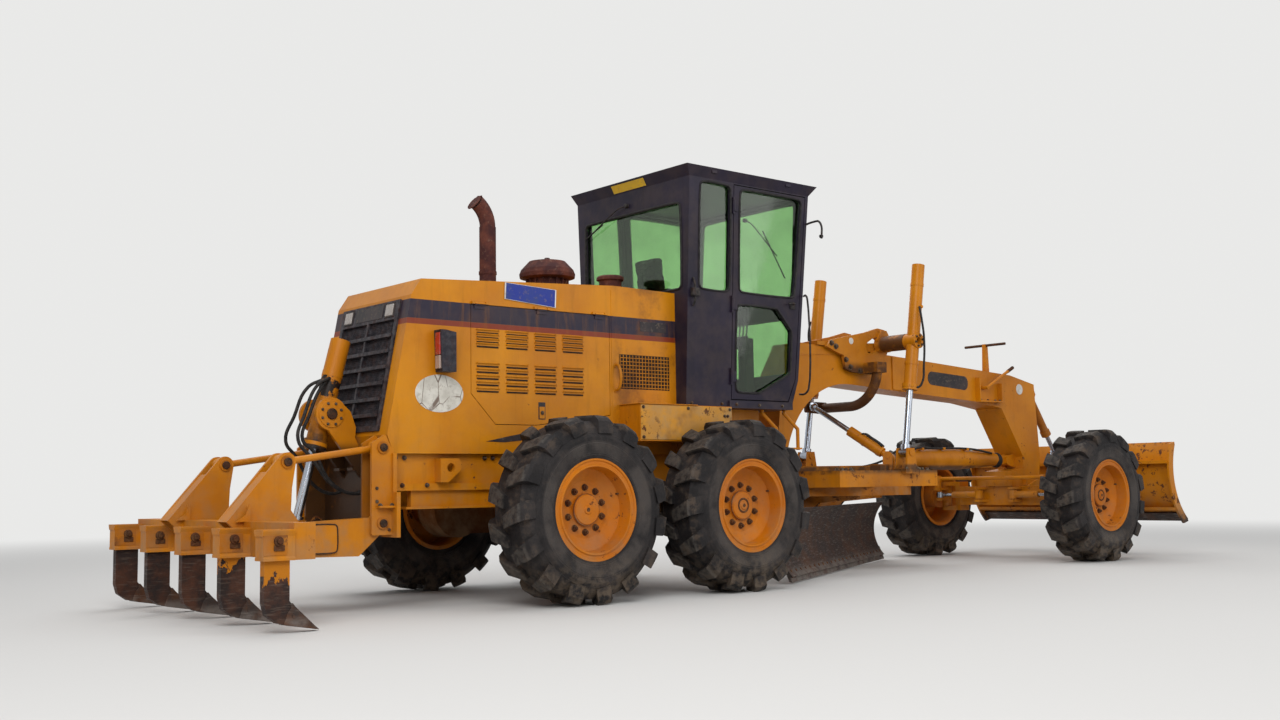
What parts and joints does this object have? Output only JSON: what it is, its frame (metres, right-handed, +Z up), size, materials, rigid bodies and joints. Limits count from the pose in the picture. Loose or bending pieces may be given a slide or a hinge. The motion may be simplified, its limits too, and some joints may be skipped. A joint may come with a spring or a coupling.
{
  "type": "motor grader",
  "caption": "Motor grader with a turned blade under an arched front frame, a rear ripper, a front blade, tandem rear wheels and a closed cab.",
  "frame": {"origin": "on the ground, at the middle of the overall length and width", "axes": "+X forward, +Y to the machine's left, +Z up"},
  "size_m": [10.7094, 2.672, 3.475],
  "materials": {
    "yellow_paint": "weathered gloss, chipped and rusty at the edges",
    "rim_paint": "weathered gloss, dusty",
    "cab_paint": "satin, dark blue-black",
    "tyre": "worn rubber, dusty",
    "glass": "green tinted",
    "seat_fabric": "worn cloth",
    "black_plastic": "matt",
    "engine_iron": "oily",
    "rusty_steel": "rusty brown",
    "lamp_red": "gloss",
    "worn_steel": "worn, dark, rusty",
    "chrome_rod": "polished"
  },
  "bodies": {
    "chassis": {"rear_frame": "yellow_paint", "tandem_cases": "yellow_paint", "engine": "engine_iron", "hood": "yellow_paint", "grille": "black_plastic", "exhaust": "rusty_steel", "precleaner": "rusty_steel", "tail_lamps": "lamp_red", "cab_shell": "cab_paint", "cab_roof": "cab_paint", "cab_glass": "glass", "seat": "seat_fabric", "controls": "black_plastic", "steps": "yellow_paint", "ripper_bracket": "yellow_paint"},
    "hood_door_left": {"hood_door_left": "yellow_paint"},
    "hood_door_right": {"hood_door_right": "yellow_paint"},
    "cab_door_left": {"cab_door_left": "cab_paint"},
    "cab_door_right": {"cab_door_right": "cab_paint"},
    "front_frame": {"front_frame": "yellow_paint", "saddle": "yellow_paint", "front_axle": "yellow_paint"},
    "knuckle_left": {"knuckle_left": "yellow_paint"},
    "knuckle_right": {"knuckle_right": "yellow_paint"},
    "tie_rod": {"tie_rod": "yellow_paint"},
    "steer_barrel_left": {"steer_barrel_left": "yellow_paint"},
    "steer_barrel_right": {"steer_barrel_right": "yellow_paint"},
    "steer_rod_left": {"steer_rod_left": "chrome_rod"},
    "steer_rod_right": {"steer_rod_right": "chrome_rod"},
    "drawbar": {"drawbar": "yellow_paint"},
    "circle": {"circle": "yellow_paint"},
    "moldboard": {"moldboard": "worn_steel"},
    "lift_barrel_left": {"lift_barrel_left": "yellow_paint"},
    "lift_barrel_right": {"lift_barrel_right": "yellow_paint"},
    "lift_rod_left": {"lift_rod_left": "chrome_rod"},
    "lift_rod_right": {"lift_rod_right": "chrome_rod"},
    "shift_barrel": {"shift_barrel": "yellow_paint"},
    "shift_rod": {"shift_rod": "chrome_rod"},
    "dozer": {"dozer": "yellow_paint"},
    "dozer_barrel": {"dozer_barrel": "yellow_paint"},
    "dozer_rod": {"dozer_rod": "chrome_rod"},
    "ripper_arms": {"ripper_arms": "yellow_paint"},
    "ripper_links": {"ripper_links": "yellow_paint"},
    "ripper_beam": {"ripper_beam": "yellow_paint", "ripper_tines": "worn_steel"},
    "ripper_barrel": {"ripper_barrel": "yellow_paint"},
    "ripper_rod": {"ripper_rod": "chrome_rod"},
    "rear_left_wheel": {"rear_left_tyre": "tyre", "rear_left_rim": "rim_paint"},
    "rear_right_wheel": {"rear_right_tyre": "tyre", "rear_right_rim": "rim_paint"},
    "mid_left_wheel": {"mid_left_tyre": "tyre", "mid_left_rim": "rim_paint"},
    "mid_right_wheel": {"mid_right_tyre": "tyre", "mid_right_rim": "rim_paint"},
    "front_left_wheel": {"front_left_tyre": "tyre", "front_left_rim": "rim_paint"},
    "front_right_wheel": {"front_right_tyre": "tyre", "front_right_rim": "rim_paint"}
  },
  "joints": [
    {"name": "hood_door_right_lift", "type": "hinge", "parent": "chassis", "child": "hood_door_right", "pos_m": [-2.76675, -0.56, 2.194], "axis": [-1, 0, 0], "range_deg": [0, 75]},
    {"name": "hood_door_left_lift", "type": "hinge", "parent": "chassis", "child": "hood_door_left", "pos_m": [-2.76675, 0.56, 2.194], "axis": [1, 0, 0], "range_deg": [0, 75]},
    {"name": "cab_door_right_swing", "type": "hinge", "parent": "chassis", "child": "cab_door_right", "pos_m": [-0.92355, -0.684, 1.48], "axis": [0, 0.0482, -0.9988], "range_deg": [0, 150]},
    {"name": "cab_door_left_swing", "type": "hinge", "parent": "chassis", "child": "cab_door_left", "pos_m": [-0.92355, 0.684, 1.48], "axis": [0, 0.0482, 0.9988], "range_deg": [0, 150]},
    {"name": "rear_left_spin", "type": "hinge", "parent": "chassis", "child": "rear_left_wheel", "pos_m": [-2.82175, 1.064, 0.675], "axis": [0, 1, 0], "continuous": true},
    {"name": "rear_right_spin", "type": "hinge", "parent": "chassis", "child": "rear_right_wheel", "pos_m": [-2.82175, -1.064, 0.675], "axis": [0, 1, 0], "continuous": true},
    {"name": "mid_left_spin", "type": "hinge", "parent": "chassis", "child": "mid_left_wheel", "pos_m": [-1.27075, 1.064, 0.675], "axis": [0, 1, 0], "continuous": true},
    {"name": "mid_right_spin", "type": "hinge", "parent": "chassis", "child": "mid_right_wheel", "pos_m": [-1.27075, -1.064, 0.675], "axis": [0, 1, 0], "continuous": true},
    {"name": "front_left_spin", "type": "hinge", "parent": "knuckle_left", "child": "front_left_wheel", "pos_m": [3.85175, 1.076, 0.675], "axis": [0, 1, 0], "continuous": true},
    {"name": "front_right_spin", "type": "hinge", "parent": "knuckle_right", "child": "front_right_wheel", "pos_m": [3.85175, -1.076, 0.675], "axis": [0, 1, 0], "continuous": true},
    {"name": "articulation", "type": "hinge", "parent": "chassis", "child": "front_frame", "pos_m": [-0.22225, 0, 1.12], "axis": [0, 0, 1], "range_deg": [-20, 20]},
    {"name": "steer_left", "type": "hinge", "parent": "front_frame", "child": "knuckle_left", "pos_m": [3.85175, 0.784, 0.675], "axis": [0, 0, 1], "range_deg": [-38, 38]},
    {"name": "steer_right", "type": "hinge", "parent": "front_frame", "child": "knuckle_right", "pos_m": [3.85175, -0.784, 0.675], "axis": [0, 0, 1], "range_deg": [-39, 39]},
    {"name": "tie_rod_turn", "type": "hinge", "parent": "knuckle_left", "child": "tie_rod", "pos_m": [3.60175, 0.704, 0.87], "axis": [0, 0, 1], "range_deg": [-43.71, 43.71]},
    {"name": "steer_barrel_left_turn", "type": "hinge", "parent": "front_frame", "child": "steer_barrel_left", "pos_m": [3.68175, 0.22, 0.69], "axis": [0, 0, 1], "range_deg": [-5.55, 5.55]},
    {"name": "steer_rod_left_slide", "type": "slide", "parent": "steer_barrel_left", "child": "steer_rod_left", "axis": [-0.0594, 0.9982, 0], "range_m": [-0.13291, 0.13291]},
    {"name": "steer_barrel_right_turn", "type": "hinge", "parent": "front_frame", "child": "steer_barrel_right", "pos_m": [3.68175, -0.22, 0.69], "axis": [0, 0, 1], "range_deg": [-5.55, 5.55]},
    {"name": "steer_rod_right_slide", "type": "slide", "parent": "steer_barrel_right", "child": "steer_rod_right", "axis": [-0.0594, -0.9982, 0], "range_m": [-0.13291, 0.13291]},
    {"name": "drawbar_lift", "type": "hinge", "parent": "front_frame", "child": "drawbar", "pos_m": [3.86775, 0, 1.06], "axis": [0, 1, 0], "range_deg": [-4, 7]},
    {"name": "lift_barrel_left_swing", "type": "hinge", "parent": "front_frame", "child": "lift_barrel_left", "pos_m": [1.55275, 0.64, 2.19], "axis": [0, 1, 0], "range_deg": [-1.61, 2.39]},
    {"name": "lift_rod_left_slide", "type": "slide", "parent": "lift_barrel_left", "child": "lift_rod_left", "axis": [-0.1569, 0, -0.9876], "range_m": [-0.31338, 0.18404]},
    {"name": "lift_barrel_right_swing", "type": "hinge", "parent": "front_frame", "child": "lift_barrel_right", "pos_m": [1.55275, -0.64, 2.19], "axis": [0, 1, 0], "range_deg": [-1.61, 2.39]},
    {"name": "lift_rod_right_slide", "type": "slide", "parent": "lift_barrel_right", "child": "lift_rod_right", "axis": [-0.1569, 0, -0.9876], "range_m": [-0.31338, 0.18404]},
    {"name": "shift_barrel_swing", "type": "hinge", "parent": "drawbar", "child": "shift_barrel", "pos_m": [1.43175, -0.4, 1.08], "axis": [-0.8808, -0.4394, 0.1764], "range_deg": [-11.33, 19.03]},
    {"name": "shift_rod_slide", "type": "slide", "parent": "shift_barrel", "child": "shift_rod", "axis": [-0.2786, 0.7822, 0.5572], "range_m": [-0.17241, 0.10164]},
    {"name": "circle_turn", "type": "hinge", "parent": "drawbar", "child": "circle", "pos_m": [1.12775, 0, 0.8], "axis": [0, 0, 1], "continuous": true},
    {"name": "blade_shift", "type": "slide", "parent": "circle", "child": "moldboard", "axis": [0.8829, 0.4695, 0], "range_m": [0, 0.35]},
    {"name": "dozer_lift", "type": "hinge", "parent": "front_frame", "child": "dozer", "pos_m": [4.42775, 0, 0.7], "axis": [0, -1, 0], "range_deg": [-22, 20]},
    {"name": "dozer_barrel_swing", "type": "hinge", "parent": "front_frame", "child": "dozer_barrel", "pos_m": [4.35775, 0, 1.8], "axis": [0, -1, 0], "range_deg": [-2.63, 2.83]},
    {"name": "dozer_rod_slide", "type": "slide", "parent": "dozer_barrel", "child": "dozer_rod", "axis": [0.5924, 0, -0.8057], "range_m": [-0.21502, 0.23545]},
    {"name": "ripper_lift", "type": "hinge", "parent": "chassis", "child": "ripper_arms", "pos_m": [-4.15175, 0, 0.61], "axis": [0, 1, 0], "range_deg": [-12, 35]},
    {"name": "ripper_links_turn", "type": "hinge", "parent": "chassis", "child": "ripper_links", "pos_m": [-4.15175, 0, 1.13], "axis": [0, 1, 0], "range_deg": [-12.5, 35.5]},
    {"name": "ripper_beam_level", "type": "hinge", "parent": "ripper_arms", "child": "ripper_beam", "pos_m": [-4.85575, 0, 0.51], "axis": [0, 1, 0], "range_deg": [-35.5, 12.5]},
    {"name": "ripper_barrel_swing", "type": "hinge", "parent": "chassis", "child": "ripper_barrel", "pos_m": [-4.31675, 0, 1.38], "axis": [0, 1, 0], "range_deg": [-1.05, 2.02]},
    {"name": "ripper_rod_slide", "type": "slide", "parent": "ripper_barrel", "child": "ripper_rod", "axis": [-0.2512, 0, -0.9679], "range_m": [-0.23034, 0.08428]}
  ],
  "couplings": [
    {"joint": "steer_right", "follows": "steer_left", "ratio": 1},
    {"joint": "tie_rod_turn", "follows": "steer_left", "ratio": -1.1061},
    {"joint": "steer_barrel_left_turn", "follows": "steer_left", "ratio": -0.11512},
    {"joint": "steer_rod_left_slide", "follows": "steer_left", "m_per_rad": -0.18964},
    {"joint": "steer_barrel_right_turn", "follows": "steer_left", "ratio": -0.11512},
    {"joint": "steer_rod_right_slide", "follows": "steer_left", "m_per_rad": 0.18964},
    {"joint": "lift_barrel_left_swing", "follows": "drawbar_lift", "ratio": 0.26227},
    {"joint": "lift_rod_left_slide", "follows": "drawbar_lift", "m_per_rad": -2.4702},
    {"joint": "lift_barrel_right_swing", "follows": "drawbar_lift", "ratio": 0.26227},
    {"joint": "lift_rod_right_slide", "follows": "drawbar_lift", "m_per_rad": -2.4702},
    {"joint": "shift_barrel_swing", "follows": "drawbar_lift", "ratio": 2.566},
    {"joint": "shift_rod_slide", "follows": "drawbar_lift", "m_per_rad": -1.3515},
    {"joint": "dozer_barrel_swing", "follows": "dozer_lift", "ratio": -0.10222},
    {"joint": "dozer_rod_slide", "follows": "dozer_lift", "m_per_rad": -0.58538},
    {"joint": "ripper_links_turn", "follows": "ripper_lift", "ratio": 1},
    {"joint": "ripper_beam_level", "follows": "ripper_lift", "ratio": -1},
    {"joint": "ripper_barrel_swing", "follows": "ripper_lift", "ratio": 0.042436},
    {"joint": "ripper_rod_slide", "follows": "ripper_lift", "m_per_rad": -0.36386}
  ]
}
